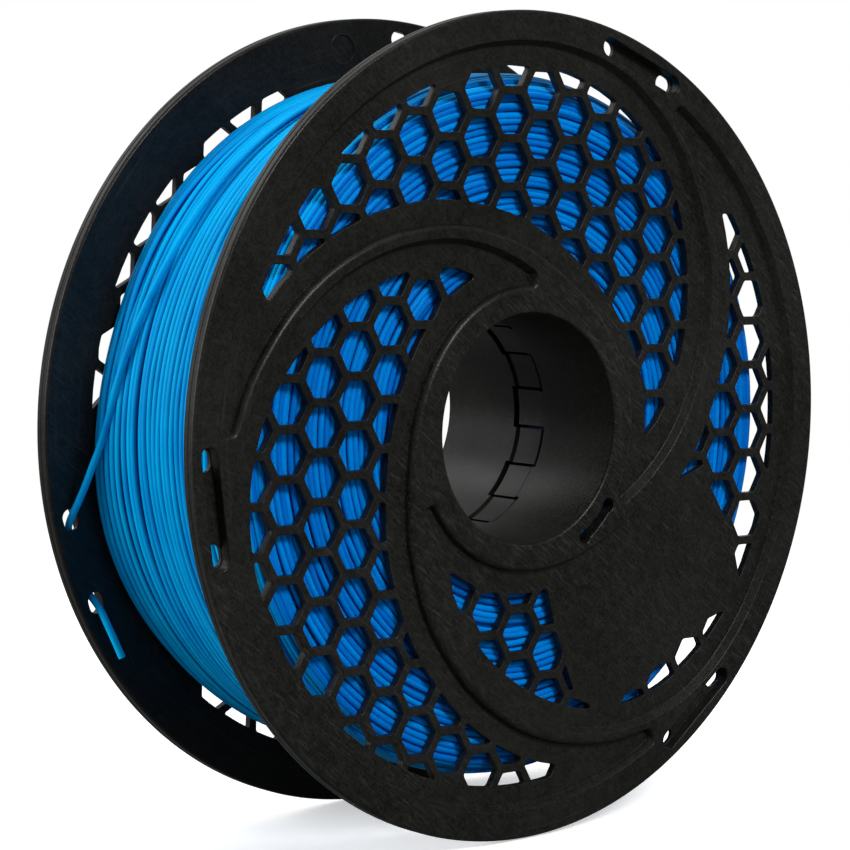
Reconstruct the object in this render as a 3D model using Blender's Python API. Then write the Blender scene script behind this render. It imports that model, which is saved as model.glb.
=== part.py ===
"""Two-part moulded filament spool, wound with round 1.75 mm filament.

Frame: spool axis along +Y, +Z up, origin at the centre of the bore.  The
front flange is on the -Y side.  Both halves are the same moulding: the rear
one is turned half a turn about +Z and then about the spool axis, so that the
nine fingers on its hub sleeve fall between the nine fingers of the front one.
The filament is wound between the flanges, and its outer end is parked through
two holes of the rear flange.

Lengths below are in millimetres and angles in degrees; MM turns them into
metres.  Angles about the axis are counted anticlockwise, seen from the front,
from +X.  Depth w is counted from the front flange's outer face, along +Y.
"""

import math

import bpy
import bmesh
from mathutils import Matrix, Vector
from mathutils.geometry import delaunay_2d_cdt

MM = 0.001

# ---------------------------------------------------------------- dimensions
SPOOL_WIDTH = 63.0          # outer face to outer face
FLANGE_R = 100.0            # 200 mm flange
FLANGE_T = 4.0
RIM_CHAMFER = 0.7
BORE_R = 27.9               # 55.8 mm bore
BORE_CHAMFER = 0.8
DRUM_R = 31.0               # outside of the hub sleeve
SEGMENTS = 84               # sides of the turned outline

FINGERS = 9                 # per half, 40 degrees apart
FINGER_CENTRE = 43.0        # angle of one front finger
FINGER_GAP = 0.8            # degrees of clearance on each flank
SLEEVE_END = 25.75          # depth where the fingers start
FINGER_TIP = 36.05          # depth where they end
FINGER_RELIEF = 0.6         # fingers are thinner than the sleeve, inside

HALF_TURN = -34.0           # rear half: angle' = 180 - angle + HALF_TURN

# three comma-shaped recessed panels, 120 degrees apart
PANEL_HEADS = (-33.0, 87.0, 207.0)
PANEL_DEPTH = 2.0
PANEL_SLOPE = 1.3           # how far the outer wall leans out at the face
PANEL_TAIL = 210.2          # degrees from head to tail
# edge radii at angles from the head; the outer edge is a spiral that runs
# into the rim, the inner one leaves the hub ring and becomes the rib's edge
PANEL_OUTER = ((0, 36.2), (10, 40.3), (20, 45), (30, 50.4), (40, 56),
               (50, 62), (60, 68.1), (70, 74), (80, 79.6), (89, 84.4),
               (98, 88.1), (105, 90.1), (113, 91.1), (122, 91.6), (170, 91.7),
               (212, 91.7))
PANEL_INNER = ((0, 34.6), (30, 34.6), (60, 34.7), (75, 35.2), (83, 35.8),
               (90, 36.4), (98, 37.4), (105, 38.6), (115, 41.1), (122, 43.5),
               (130, 46.4), (137, 49.3), (144, 52.8), (152, 56.8),
               (159, 60.5), (166, 64.8), (174, 69.5), (181, 73.8),
               (188, 77.8), (196, 82), (203, 85.6), (212, 89.4))

# honeycomb windows inside the panels
HEX_PITCH = 11.4
HEX_FLATS = 9.3
HEX_TURN = -1.06            # the rows lean by this
HEX_ORIGIN = (3.97, 1.04)   # one window centre of the first panel's lattice
# they stop at these radii, at angles from the panel's head
WINDOW_OUTER = ((25, 39.7), (32, 44.6), (40, 49.3), (48, 54.4), (56, 59.2),
                (64, 64.3), (72, 69.5), (80, 74.6), (88, 78.9), (96, 82.3),
                (104, 84.6), (112, 86.1), (120, 86.9), (135, 87), (212, 87))
WINDOW_INNER = ((25, 40.3), (70, 40.3), (76, 40.4), (83, 40.9), (90, 41.8),
                (98, 43.2), (105, 44.6), (115, 47.3), (122, 49.8),
                (130, 52.8), (137, 55.6), (144, 59.1), (152, 63.1),
                (159, 66.7), (166, 70.9), (174, 75.5), (181, 79.7),
                (188, 83.4), (196, 87.2), (212, 92))
WINDOW_START = 25.0         # first window starts here, from the head
WINDOW_MIN_AREA = 7.5

# the third panel has a plain area where there are no windows; its edge is given
# by (x, z) points from the hub round to the hub again
PLAIN_EDGE = ((5.3, -33.0), (10.0, -50.1), (13.6, -59.6), (17.3, -68.5),
              (25.0, -71.5), (35.0, -69.0), (43.5, -64.8), (51.0, -59.5),
              (58.0, -54.5), (66.0, -52.5), (72.0, -46.0), (74.3, -40.5),
              (72.6, -34.0), (69.1, -26.7), (64.8, -19.9), (62.6, -14.6),
              (61.3, -13.2), (53.8, -16.0), (46.0, -19.0))

# holes that park the filament's end: pairs joined by an outside recess
PARK_ANGLES = (60.8, 73.8)
PARK_R = 95.3
PARK_LENGTH = 5.6
PARK_WIDTH = 4.2
PARK_RECESS = 2.8

# slot beside the hub that holds the filament's inner end
SLOT_ANGLES = (-57.0, -38.5)
SLOT_R = 33.0
SLOT_WIDTH = 2.4
SLOT_END_D = 3.5

# filament
FILAMENT_D = 1.75
GAP = 0.3
WIND_R = 85.3               # outside of the winding
WIND_SHOULDER_R = 80.5      # its last turns beside the front flange
WIND_SHOULDER = 6.0

# route of the loose end: (along, outward, depth) from the centre of the first
# parking hole of the rear flange, along the straight line to the second one
LEAD_ANGLES = (158.0, 163.0, 168.0, 173.0, 177.0)
LEAD_DEPTHS = (44.6, 46.6, 48.6, 50.8, 52.6)
LEAD_R = WIND_R + GAP + FILAMENT_D / 2 + 0.05
ROUTE = ((-14.6, -10.6, 54.6), (-11.0, -7.9, 55.5), (-7.5, -5.3, 56.3),
         (-4.4, -2.8, 57.1), (-2.1, -1.0, 57.95), (0.0, 0.0, 59.35),
         (2.6, 0.0, 61.45), (5.2, 0.0, 61.85), (10.7, 0.0, 61.9),
         (16.3, 0.0, 61.85), (18.9, 0.0, 61.45), (21.5, 0.0, 59.35),
         (23.8, 0.1, 57.75), (26.6, 0.4, 56.4), (30.0, 0.6, 55.1),
         (35.0, 0.6, 53.9))

BLACK_PLASTIC = (0.012, 0.012, 0.011)
BLUE_FILAMENT = (0.0, 0.22, 0.62)


# ------------------------------------------------------------------- helpers
def clear_scene():
    for ob in list(bpy.data.objects):
        bpy.data.objects.remove(ob, do_unlink=True)
    for me in list(bpy.data.meshes):
        bpy.data.meshes.remove(me)


def plastic(name, colour, roughness):
    mat = bpy.data.materials.new(name)
    mat.use_nodes = True
    bsdf = mat.node_tree.nodes["Principled BSDF"]
    bsdf.inputs["Base Color"].default_value = (*colour, 1.0)
    bsdf.inputs["Roughness"].default_value = roughness
    bsdf.inputs["Metallic"].default_value = 0.0
    return mat


def stations(table, a):
    """Smooth curve through (angle, radius) stations."""
    n = len(table)
    if a <= table[0][0]:
        return table[0][1]
    if a >= table[-1][0]:
        return table[-1][1]
    i = max(k for k in range(n - 1) if table[k][0] <= a)

    def slope(k):
        lo, hi = max(k - 1, 0), min(k + 1, n - 1)
        return (table[hi][1] - table[lo][1]) / (table[hi][0] - table[lo][0])

    a0, r0 = table[i]
    a1, r1 = table[i + 1]
    h = a1 - a0
    t = (a - a0) / h
    m0, m1 = slope(i) * h, slope(i + 1) * h
    return ((2 * t ** 3 - 3 * t ** 2 + 1) * r0 + (t ** 3 - 2 * t ** 2 + t) * m0
            + (-2 * t ** 3 + 3 * t ** 2) * r1 + (t ** 3 - t ** 2) * m1)


def polar(r, a):
    return (r * math.cos(math.radians(a)), r * math.sin(math.radians(a)))


def at(p, w):
    """Point on the face plane (x, z) and depth w, in metres in the frame."""
    return Vector((p[0] * MM, (w - SPOOL_WIDTH / 2) * MM, p[1] * MM))


def add_object(name, bm, mat=None, guide=False):
    me = bpy.data.meshes.new(name)
    bm.normal_update()
    bm.to_mesh(me)
    bm.free()
    ob = bpy.data.objects.new(name, me)
    bpy.context.scene.collection.objects.link(ob)
    if mat is not None:
        me.materials.append(mat)
    if guide:
        ob.hide_render = True
        ob.display_type = 'WIRE'
    return ob


def turned(profile, segments):
    """Ring turned about the spool axis from a closed (radius, depth) outline."""
    bm = bmesh.new()
    rings = []
    for i in range(segments):
        a = 360.0 * i / segments
        rings.append([bm.verts.new(at(polar(r, a), w)) for r, w in profile])
    n = len(profile)
    for i in range(segments):
        a, b = rings[i], rings[(i + 1) % segments]
        for k in range(n):
            bm.faces.new((a[k], b[k], b[(k + 1) % n], a[(k + 1) % n]))
    bmesh.ops.recalc_face_normals(bm, faces=bm.faces)
    return bm


def area(poly):
    return 0.5 * sum(poly[i - 1][0] * poly[i][1] - poly[i][0] * poly[i - 1][1]
                     for i in range(len(poly)))


def clip(poly, point, normal):
    """Part of a polygon on the side of `point` that `normal` points away from."""
    out = []
    for i in range(len(poly)):
        p, q = poly[i - 1], poly[i]
        dp = (p[0] - point[0]) * normal[0] + (p[1] - point[1]) * normal[1]
        dq = (q[0] - point[0]) * normal[0] + (q[1] - point[1]) * normal[1]
        if (dp <= 0) != (dq <= 0):
            t = dp / (dp - dq)
            out.append((p[0] + t * (q[0] - p[0]), p[1] + t * (q[1] - p[1])))
        if dq <= 0:
            out.append(q)
    return out


def tidy(poly, shortest=0.35):
    """Drop points that are nearly on top of the one before."""
    out = []
    for p in poly:
        if not out or math.dist(p, out[-1]) > shortest:
            out.append(p)
    while len(out) > 2 and math.dist(out[0], out[-1]) <= shortest:
        out.pop()
    return out


# ------------------------------------------------------------ panel outlines
def panel_outline(head, lean):
    """Closed outline of one recessed panel; `lean` moves the outer edge out."""
    pts = []
    first = 1.5 - lean
    for i in range(31):
        a = first + (PANEL_TAIL - first) * i / 30
        pts.append(polar(stations(PANEL_OUTER, a) + lean, head + a))
    tail = 24
    for i in range(tail + 1):
        a = PANEL_TAIL + (first - PANEL_TAIL) * i / tail
        pts.append(polar(stations(PANEL_INNER, a), head + a))
    return pts


def outer_limit(a):
    return stations(WINDOW_OUTER, a)


def inner_limit(a):
    return stations(WINDOW_INNER, a)


def trim(poly, limit, keep, head, middle):
    """Part of a window inside (keep 1) or outside (keep -1) of a spiral curve."""
    def angle(p):
        a = math.degrees(math.atan2(p[1], p[0])) - head
        return middle + (a - middle + 180.0) % 360.0 - 180.0

    def over(p):
        return keep * (math.hypot(*p) - limit(angle(p)))

    def crossing(p, q):
        for _ in range(30):
            m = ((p[0] + q[0]) / 2, (p[1] + q[1]) / 2)
            p, q = (m, q) if (over(m) > 0) == (over(p) > 0) else (p, m)
        return p

    out = []
    for i in range(len(poly)):
        p, q = poly[i - 1], poly[i]
        if over(p) <= 0 < over(q):
            start = crossing(p, q)
            out.append(start)
            k = i                                # find where it comes back
            while over(poly[(k + 1) % len(poly)]) > 0:
                k += 1
            end = crossing(poly[k % len(poly)], poly[(k + 1) % len(poly)])
            a0, a1 = angle(start), angle(end)
            if math.dist(start, end) > 3.0:
                a = (a0 + a1) / 2
                out.append(polar(limit(a), head + a))
            out.append(end)
        elif over(q) <= 0 and over(p) <= 0:
            out.append(q)
        elif over(q) <= 0:
            out.append(q)
    return out


def hexagon(cx, cz, turn):
    r = HEX_FLATS / math.sqrt(3)
    return [(cx + r * math.cos(math.radians(turn + 60 * k)),
             cz + r * math.sin(math.radians(turn + 60 * k))) for k in range(6)]


def windows():
    """Outlines of all honeycomb windows of one flange."""
    found = []
    t = math.radians(HEX_TURN)
    ax, az = HEX_PITCH * math.cos(t + math.radians(30)), HEX_PITCH * math.sin(t + math.radians(30))
    bx, bz = HEX_PITCH * math.cos(t + math.radians(90)), HEX_PITCH * math.sin(t + math.radians(90))
    for number, head in enumerate(PANEL_HEADS):
        turn = math.radians(120.0 * number)
        ox = HEX_ORIGIN[0] * math.cos(turn) - HEX_ORIGIN[1] * math.sin(turn)
        oz = HEX_ORIGIN[0] * math.sin(turn) + HEX_ORIGIN[1] * math.cos(turn)
        for i in range(-12, 13):
            for j in range(-14, 15):
                cx, cz = ox + i * ax + j * bx, oz + i * az + j * bz
                if not 34 < math.hypot(cx, cz) < 95:
                    continue
                middle = (math.degrees(math.atan2(cz, cx)) - head) % 360.0
                if not WINDOW_START - 12 < middle < 208:
                    continue
                poly = hexagon(cx, cz, HEX_TURN)
                poly = trim(poly, outer_limit, 1, head, middle)
                poly = trim(poly, inner_limit, -1, head, middle)
                if number == 2:
                    poly = outside_plain_area(poly, cx, cz)
                poly = tidy(poly, 0.6)
                if len(poly) < 3 or abs(area(poly)) < WINDOW_MIN_AREA:
                    continue
                found.append((number, poly))
    return found


def outside_plain_area(poly, cx, cz):
    """Cut a window back to the edge of the plain area."""
    deep = inside(PLAIN_EDGE, Vector((cx, cz)))
    near, best = None, 1e9
    for p, q in zip(PLAIN_EDGE, PLAIN_EDGE[1:]):
        dx, dz = q[0] - p[0], q[1] - p[1]
        t = ((cx - p[0]) * dx + (cz - p[1]) * dz) / (dx * dx + dz * dz)
        t = min(1.0, max(0.0, t))
        x, z = p[0] + t * dx, p[1] + t * dz
        if math.dist((x, z), (cx, cz)) < best:
            best, near = math.dist((x, z), (cx, cz)), (x, z)
    if best > HEX_FLATS * 0.58:
        return [] if deep else poly
    n = (near[0] - cx, near[1] - cz)
    if deep:
        n = (-n[0], -n[1])
    return clip(poly, near, n)


def obround(p, q, width, steps=6):
    """Outline of a slot with round ends at p and q."""
    dx, dz = q[0] - p[0], q[1] - p[1]
    base = math.degrees(math.atan2(dz, dx))
    out = []
    for centre, start in ((q, base - 90), (p, base + 90)):
        for i in range(steps + 1):
            c = polar(width / 2, start + 180.0 * i / steps)
            out.append((centre[0] + c[0], centre[1] + c[1]))
    return tidy(out, 0.05)


# ---------------------------------------------------------------- components
class Layers:
    """Closed shell made of flat regions at several depths and their walls."""

    def __init__(self):
        self.bm = bmesh.new()
        self.loops = []

    def loop(self, points, w):
        return [self.bm.verts.new(at(p, w)) for p in points]

    def wall(self, a, b):
        n = len(a)
        for i in range(n):
            j = (i + 1) % n
            self.bm.faces.new((a[i], a[j], b[j], b[i]))

    def fill(self, rings):
        """Flat face between an outer ring of vertices and the rings inside it."""
        verts = [v for ring in rings for v in ring]
        flat = [Vector((v.co.x / MM, v.co.z / MM)) for v in verts]
        edges, start = [], 0
        for ring in rings:
            n = len(ring)
            edges += [(start + i, start + (i + 1) % n) for i in range(n)]
            start += n
        out = delaunay_2d_cdt(flat, edges, [], 0, 1e-7)
        if len(out[0]) != len(flat):
            raise ValueError("two outlines of a flat region touch")
        polys, start = [], 0
        for ring in rings:
            polys.append([(p.x, p.y) for p in flat[start:start + len(ring)]])
            start += len(ring)
        for tri in out[2]:
            ids = [out[3][i][0] for i in tri]
            c = sum((flat[i] for i in ids), Vector((0, 0))) / 3
            if sum(inside(poly, c) for poly in polys) % 2:
                self.bm.faces.new([verts[i] for i in ids])


def inside(poly, p):
    hit = False
    for i in range(len(poly)):
        (x0, z0), (x1, z1) = poly[i - 1], poly[i]
        if (z0 > p.y) != (z1 > p.y) and p.x < x0 + (p.y - z0) / (z1 - z0) * (x1 - x0):
            hit = not hit
    return hit


def circle(r, angles):
    return [polar(r, a) for a in angles]


def parking_outlines():
    """(recess outline, the outlines of its two holes) for each pair."""
    out = []
    for k in range(3):
        a, b = (polar(PARK_R, ang + 120 * k) for ang in PARK_ANGLES)
        n = math.dist(a, b)
        ux, uz = (b[0] - a[0]) / n, (b[1] - a[1]) / n
        h = (PARK_LENGTH - PARK_WIDTH) / 2
        holes = [obround((c[0] - h * ux, c[1] - h * uz),
                         (c[0] + h * ux, c[1] + h * uz), PARK_WIDTH, 5)
                 for c in (a, b)]
        h += 0.2
        recess = obround((a[0] - h * ux, a[1] - h * uz),
                         (b[0] + h * ux, b[1] + h * uz), PARK_WIDTH + 0.3, 5)
        out.append((recess, holes))
    return out


def slot_outline():
    """Curved slot beside the hub with a wider round hole at each end."""
    lo, hi = SLOT_ANGLES
    r = SLOT_END_D / 2
    half = math.asin(SLOT_WIDTH / SLOT_END_D)
    reach = math.degrees(r * math.cos(half) / SLOT_R)
    flank = [lo + reach + (hi - lo - 2 * reach) * i / 4 for i in range(1, 4)]
    swing = [(math.pi - half) * (1 - 2 * i / 7) for i in range(8)]

    def end(angle, way, turns):
        cx, cz = polar(SLOT_R, angle)
        ux, uz = polar(1.0, angle)               # away from the axis
        tx, tz = -way * uz, way * ux             # towards the slot's end
        return [(cx + r * (math.cos(f) * tx + math.sin(f) * ux),
                 cz + r * (math.cos(f) * tz + math.sin(f) * uz)) for f in turns]

    return ([polar(SLOT_R + SLOT_WIDTH / 2, a) for a in flank]
            + end(hi, 1, swing)
            + [polar(SLOT_R - SLOT_WIDTH / 2, a) for a in reversed(flank)]
            + end(lo, -1, list(reversed(swing))))


def spool_half_mesh():
    """The moulding: flange, hub sleeve and fingers, in the front position."""
    s = Layers()
    rim = [360.0 * i / SEGMENTS for i in range(SEGMENTS)]
    step = 360.0 / FINGERS
    half = step / 4 - FINGER_GAP
    hub = []                                     # angles round the sleeve
    for k in range(FINGERS):
        mid = FINGER_CENTRE + step * k
        hub += [mid - half + 2 * half * i / 4 for i in range(5)]
        gap = step - 2 * half
        hub += [mid + half + gap * i / 4 for i in range(1, 4)]
    per = 8                                      # vertices per finger pitch

    # outer face, with the panels, recesses and slot left open
    face_rim = s.loop(circle(FLANGE_R - RIM_CHAMFER, rim), 0.0)
    mouth = s.loop(circle(BORE_R + BORE_CHAMFER, hub), 0.0)
    slot = slot_outline()
    slot_face, slot_back = s.loop(slot, 0.0), s.loop(slot, FLANGE_T)
    s.wall(slot_face, slot_back)
    face, back = [face_rim, mouth, slot_face], [slot_back]

    cuts = windows()
    for number, head in enumerate(PANEL_HEADS):
        top = s.loop(panel_outline(head, PANEL_SLOPE), 0.0)
        floor = s.loop(panel_outline(head, 0.0), PANEL_DEPTH)
        s.wall(top, floor)
        face.append(top)
        rings = [floor]
        for owner, poly in cuts:
            if owner == number:
                a, b = s.loop(poly, PANEL_DEPTH), s.loop(poly, FLANGE_T)
                s.wall(a, b)
                rings.append(a)
                back.append(b)
        s.fill(rings)
    for recess, holes in parking_outlines():
        top, floor = s.loop(recess, 0.0), s.loop(recess, PARK_RECESS)
        s.wall(top, floor)
        face.append(top)
        rings = [floor]
        for hole in holes:
            a, b = s.loop(hole, PARK_RECESS), s.loop(hole, FLANGE_T)
            s.wall(a, b)
            rings.append(a)
            back.append(b)
        s.fill(rings)
    s.fill(face)

    # rim
    r1 = s.loop(circle(FLANGE_R, rim), RIM_CHAMFER)
    r2 = s.loop(circle(FLANGE_R, rim), FLANGE_T - RIM_CHAMFER)
    back_rim = s.loop(circle(FLANGE_R - RIM_CHAMFER, rim), FLANGE_T)
    for a, b in ((face_rim, r1), (r1, r2), (r2, back_rim)):
        s.wall(a, b)

    # inner face, down to the drum
    drum = s.loop(circle(DRUM_R, hub), FLANGE_T)
    s.fill([back_rim, drum] + back)

    # sleeve and fingers
    bore = s.loop(circle(BORE_R, hub), BORE_CHAMFER)
    s.wall(mouth, bore)
    in_end = s.loop(circle(BORE_R, hub), SLEEVE_END)
    out_end = s.loop(circle(DRUM_R, hub), SLEEVE_END)
    s.wall(bore, in_end)
    s.wall(drum, out_end)
    for k in range(FINGERS):
        i0 = per * k
        ids = [(i0 + i) % len(hub) for i in range(5)]
        a_in = [in_end[i] for i in ids]
        a_out = [out_end[i] for i in ids]
        angs = [hub[i] for i in ids]
        b_in = s.loop(circle(BORE_R + FINGER_RELIEF, angs), SLEEVE_END + 1.4)
        c_in = s.loop(circle(BORE_R + FINGER_RELIEF, angs), FINGER_TIP)
        c_out = s.loop(circle(DRUM_R, angs), FINGER_TIP)
        new = s.bm.faces.new
        for i in range(4):
            new((a_in[i], a_in[i + 1], b_in[i + 1], b_in[i]))
            new((b_in[i], b_in[i + 1], c_in[i + 1], c_in[i]))
            new((c_in[i], c_in[i + 1], c_out[i + 1], c_out[i]))
            new((c_out[i], c_out[i + 1], a_out[i + 1], a_out[i]))
        for i in (0, 4):
            new((a_in[i], b_in[i], c_in[i], c_out[i], a_out[i]))
        # land between this finger and the next
        ids = [(i0 + 4 + i) % len(hub) for i in range(5)]
        for i, j in zip(ids, ids[1:]):
            new((in_end[i], in_end[j], out_end[j], out_end[i]))

    bm = s.bm
    bmesh.ops.recalc_face_normals(bm, faces=bm.faces)
    bmesh.ops.triangulate(bm, faces=[f for f in bm.faces if len(f.verts) > 4])
    mesh = bpy.data.meshes.new("spool_half")
    bm.to_mesh(mesh)
    bm.free()
    return mesh


def place(name, mesh, mat, parent, matrix=None):
    me = mesh.copy()
    me.name = name
    me.materials.clear()
    me.materials.append(mat)
    me.shade_smooth()
    me.set_sharp_from_angle(angle=math.radians(30))
    ob = bpy.data.objects.new(name, me)
    bpy.context.scene.collection.objects.link(ob)
    ob.parent = parent
    if matrix is not None:
        ob.matrix_world = matrix
    return ob


def filament_winding(mat, parent):
    w0 = FLANGE_T + GAP
    w1 = SPOOL_WIDTH - FLANGE_T - GAP
    bm = turned([(DRUM_R + GAP, w0), (WIND_SHOULDER_R, w0),
                 (WIND_R - 1.2, w0 + WIND_SHOULDER * 0.55),
                 (WIND_R, w0 + WIND_SHOULDER), (WIND_R, w1),
                 (DRUM_R + GAP, w1)], 72)
    ob = add_object("filament_winding", bm, mat)
    ob.data.shade_smooth()
    ob.data.set_sharp_from_angle(angle=math.radians(30))
    ob.parent = parent
    return ob


def loose_end_points():
    """Centre line of the loose end, from the winding to its cut tip."""
    angles = [180 + HALF_TURN - a + 120 for a in reversed(PARK_ANGLES)]
    h1, h2 = (polar(PARK_R, a) for a in angles)
    n = math.dist(h1, h2)
    s = ((h2[0] - h1[0]) / n, (h2[1] - h1[1]) / n)
    o = (s[1], -s[0])
    if o[0] * h1[0] + o[1] * h1[1] < 0:
        o = (-o[0], -o[1])
    pts = [at(polar(LEAD_R, a), w) for a, w in zip(LEAD_ANGLES, LEAD_DEPTHS)]
    for along, out, w in ROUTE:
        pts.append(at((h1[0] + along * s[0] + out * o[0],
                       h1[1] + along * s[1] + out * o[1]), w))
    # centripetal curve through the route's points, read off every 3 mm or so
    ends = [pts[0] * 2 - pts[1]] + pts + [pts[-1] * 2 - pts[-2]]
    fine = []
    for i in range(1, len(ends) - 2):
        p0, p1, p2, p3 = ends[i - 1:i + 3]
        t1 = (p1 - p0).length ** 0.5
        t2 = t1 + (p2 - p1).length ** 0.5
        t3 = t2 + (p3 - p2).length ** 0.5
        for k in range(16):
            t = t1 + (t2 - t1) * k / 16
            a1 = p0 * ((t1 - t) / t1) + p1 * (t / t1)
            a2 = p1 * ((t2 - t) / (t2 - t1)) + p2 * ((t - t1) / (t2 - t1))
            a3 = p2 * ((t3 - t) / (t3 - t2)) + p3 * ((t - t2) / (t3 - t2))
            b1 = a1 * ((t2 - t) / t2) + a2 * (t / t2)
            b2 = a2 * ((t3 - t) / (t3 - t1)) + a3 * ((t - t1) / (t3 - t1))
            fine.append(b1 * ((t2 - t) / (t2 - t1)) + b2 * ((t - t1) / (t2 - t1)))
    fine.append(pts[-1])
    step, out, run = 2.2 * MM, [fine[0]], 0.0
    for a, b in zip(fine, fine[1:]):
        run += (b - a).length
        if run >= step:
            out.append(b)
            run = 0.0
    if (out[-1] - fine[-1]).length > 0.4 * step:
        out.append(fine[-1])
    else:
        out[-1] = fine[-1]
    return out


def filament_loose_end(mat, parent):
    pts = loose_end_points()
    cu = bpy.data.curves.new("filament_loose_end", 'CURVE')
    cu.dimensions = '3D'
    sp = cu.splines.new('POLY')
    sp.points.add(len(pts) - 1)
    for p, q in zip(sp.points, pts):
        p.co = (*q, 1.0)
    cu.bevel_depth = FILAMENT_D / 2 * MM
    cu.bevel_resolution = 2
    cu.use_fill_caps = True
    cu.materials.append(mat)
    ob = bpy.data.objects.new("filament_loose_end", cu)
    bpy.context.scene.collection.objects.link(ob)
    ob.parent = parent
    return ob


def main():
    clear_scene()
    front_mat = plastic("front_half_plastic", BLACK_PLASTIC, 0.38)
    rear_mat = plastic("rear_half_plastic", BLACK_PLASTIC, 0.38)
    wind_mat = plastic("wound_filament", BLUE_FILAMENT, 0.35)
    end_mat = plastic("loose_filament", BLUE_FILAMENT, 0.35)

    rear_axis = bpy.data.objects.new("rear_body_axis", None)
    front_axis = bpy.data.objects.new("front_body_axis", None)
    for empty in (rear_axis, front_axis):
        bpy.context.scene.collection.objects.link(empty)

    half = spool_half_mesh()
    place("front_flange_half", half, front_mat, front_axis)
    turn = (Matrix.Rotation(math.radians(-HALF_TURN), 4, 'Y')
            @ Matrix.Rotation(math.pi, 4, 'Z'))
    place("rear_flange_half", half, rear_mat, rear_axis, turn)
    bpy.data.meshes.remove(half)

    filament_winding(wind_mat, rear_axis)
    filament_loose_end(end_mat, rear_axis)


main()
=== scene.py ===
"""Looks of the two-part moulded filament spool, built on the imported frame.

Frame: spool axis along +Y, +Z up, the front flange on the -Y side.  Lengths in
the tables are millimetres, angles are degrees anticlockwise seen from the
front, and depth w runs along +Y from the front flange's outer face.
"""
import math
import random

import bmesh
import bpy
import numpy as np
from mathutils import Matrix, Vector
from mathutils.geometry import delaunay_2d_cdt


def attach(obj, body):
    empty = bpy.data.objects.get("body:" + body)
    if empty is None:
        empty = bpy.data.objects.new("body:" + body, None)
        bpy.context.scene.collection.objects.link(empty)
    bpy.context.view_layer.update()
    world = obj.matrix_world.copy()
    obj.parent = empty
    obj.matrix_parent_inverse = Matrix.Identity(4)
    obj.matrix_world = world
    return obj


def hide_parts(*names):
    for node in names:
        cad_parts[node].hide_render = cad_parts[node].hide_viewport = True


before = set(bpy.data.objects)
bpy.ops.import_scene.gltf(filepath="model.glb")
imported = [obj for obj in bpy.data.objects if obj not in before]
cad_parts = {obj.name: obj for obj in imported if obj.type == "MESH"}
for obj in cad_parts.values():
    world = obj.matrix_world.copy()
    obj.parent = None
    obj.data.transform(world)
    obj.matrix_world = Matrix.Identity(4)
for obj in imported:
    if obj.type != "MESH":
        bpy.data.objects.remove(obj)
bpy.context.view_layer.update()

MM = 0.001
SPOOL_WIDTH = 63.0
FLANGE_R = 100.0
FLANGE_T = 4.0
RIM_ROUND = 0.75
BORE_R = 27.9
DRUM_R = 31.0
FINGERS = 9
FINGER_CENTRE = 43.0
FINGER_GAP = 0.8
SLEEVE_END = 25.75
FINGER_TIP = 36.05
FINGER_RELIEF = 0.6
HALF_TURN = -34.0

PANEL_HEADS = (-33.0, 87.0, 207.0)
PANEL_DEPTH = 2.0
PANEL_SLOPE = 1.3
PANEL_TAIL = 210.2
# edge radii at angles from the head; the outer edge is a spiral that runs
# into the rim, the inner one leaves the hub ring and becomes the rib's edge
PANEL_OUTER = ((0, 36.2), (10, 40.3), (20, 45), (30, 50.4), (40, 56),
               (50, 62), (60, 68.1), (70, 74), (80, 79.6), (89, 84.4),
               (98, 88.1), (105, 90.1), (113, 91.1), (122, 91.6), (170, 91.7),
               (212, 91.7))
PANEL_INNER = ((0, 34.6), (30, 34.6), (60, 34.7), (75, 35.2), (83, 35.8),
               (90, 36.4), (98, 37.4), (105, 38.6), (115, 41.1), (122, 43.5),
               (130, 46.4), (137, 49.3), (144, 52.8), (152, 56.8),
               (159, 60.5), (166, 64.8), (174, 69.5), (181, 73.8),
               (188, 77.8), (196, 82), (203, 85.6), (212, 89.4))

# honeycomb windows inside the panels
HEX_PITCH = 11.4
HEX_FLATS = 9.3
HEX_TURN = -1.06            # the rows lean by this
HEX_ORIGIN = (3.97, 1.04)   # one window centre of the first panel's lattice
# they stop at these radii, at angles from the panel's head
WINDOW_OUTER = ((25, 39.7), (32, 44.6), (40, 49.3), (48, 54.4), (56, 59.2),
                (64, 64.3), (72, 69.5), (80, 74.6), (88, 78.9), (96, 82.3),
                (104, 84.6), (112, 86.1), (120, 86.9), (135, 87), (212, 87))
WINDOW_INNER = ((25, 40.3), (70, 40.3), (76, 40.4), (83, 40.9), (90, 41.8),
                (98, 43.2), (105, 44.6), (115, 47.3), (122, 49.8),
                (130, 52.8), (137, 55.6), (144, 59.1), (152, 63.1),
                (159, 66.7), (166, 70.9), (174, 75.5), (181, 79.7),
                (188, 83.4), (196, 87.2), (212, 92))
WINDOW_START = 25.0         # first window starts here, from the head
WINDOW_MIN_AREA = 7.5

# the third panel has a plain area where there are no windows; its edge is given
# by (x, z) points from the hub round to the hub again
PLAIN_EDGE = ((5.3, -33.0), (10.0, -50.1), (13.6, -59.6), (17.3, -68.5),
              (25.0, -71.5), (35.0, -69.0), (43.5, -64.8), (51.0, -59.5),
              (58.0, -54.5), (66.0, -52.5), (72.0, -46.0), (74.3, -40.5),
              (72.6, -34.0), (69.1, -26.7), (64.8, -19.9), (62.6, -14.6),
              (61.3, -13.2), (53.8, -16.0), (46.0, -19.0))

# holes that park the filament's end: pairs joined by an outside recess
PARK_ANGLES = (60.8, 73.8)
PARK_R = 95.3
PARK_LENGTH = 5.6
PARK_WIDTH = 4.2
PARK_RECESS = 2.8

# slot beside the hub that holds the filament's inner end
SLOT_ANGLES = (-57.0, -38.5)
SLOT_R = 33.0
SLOT_WIDTH = 2.4
SLOT_END_D = 3.5
FILAMENT_D = 1.75
WIND_R = 85.3
WIND_SHOULDER_R = 80.5
WIND_SHOULDER = 6.0
SEED = 11


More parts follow.
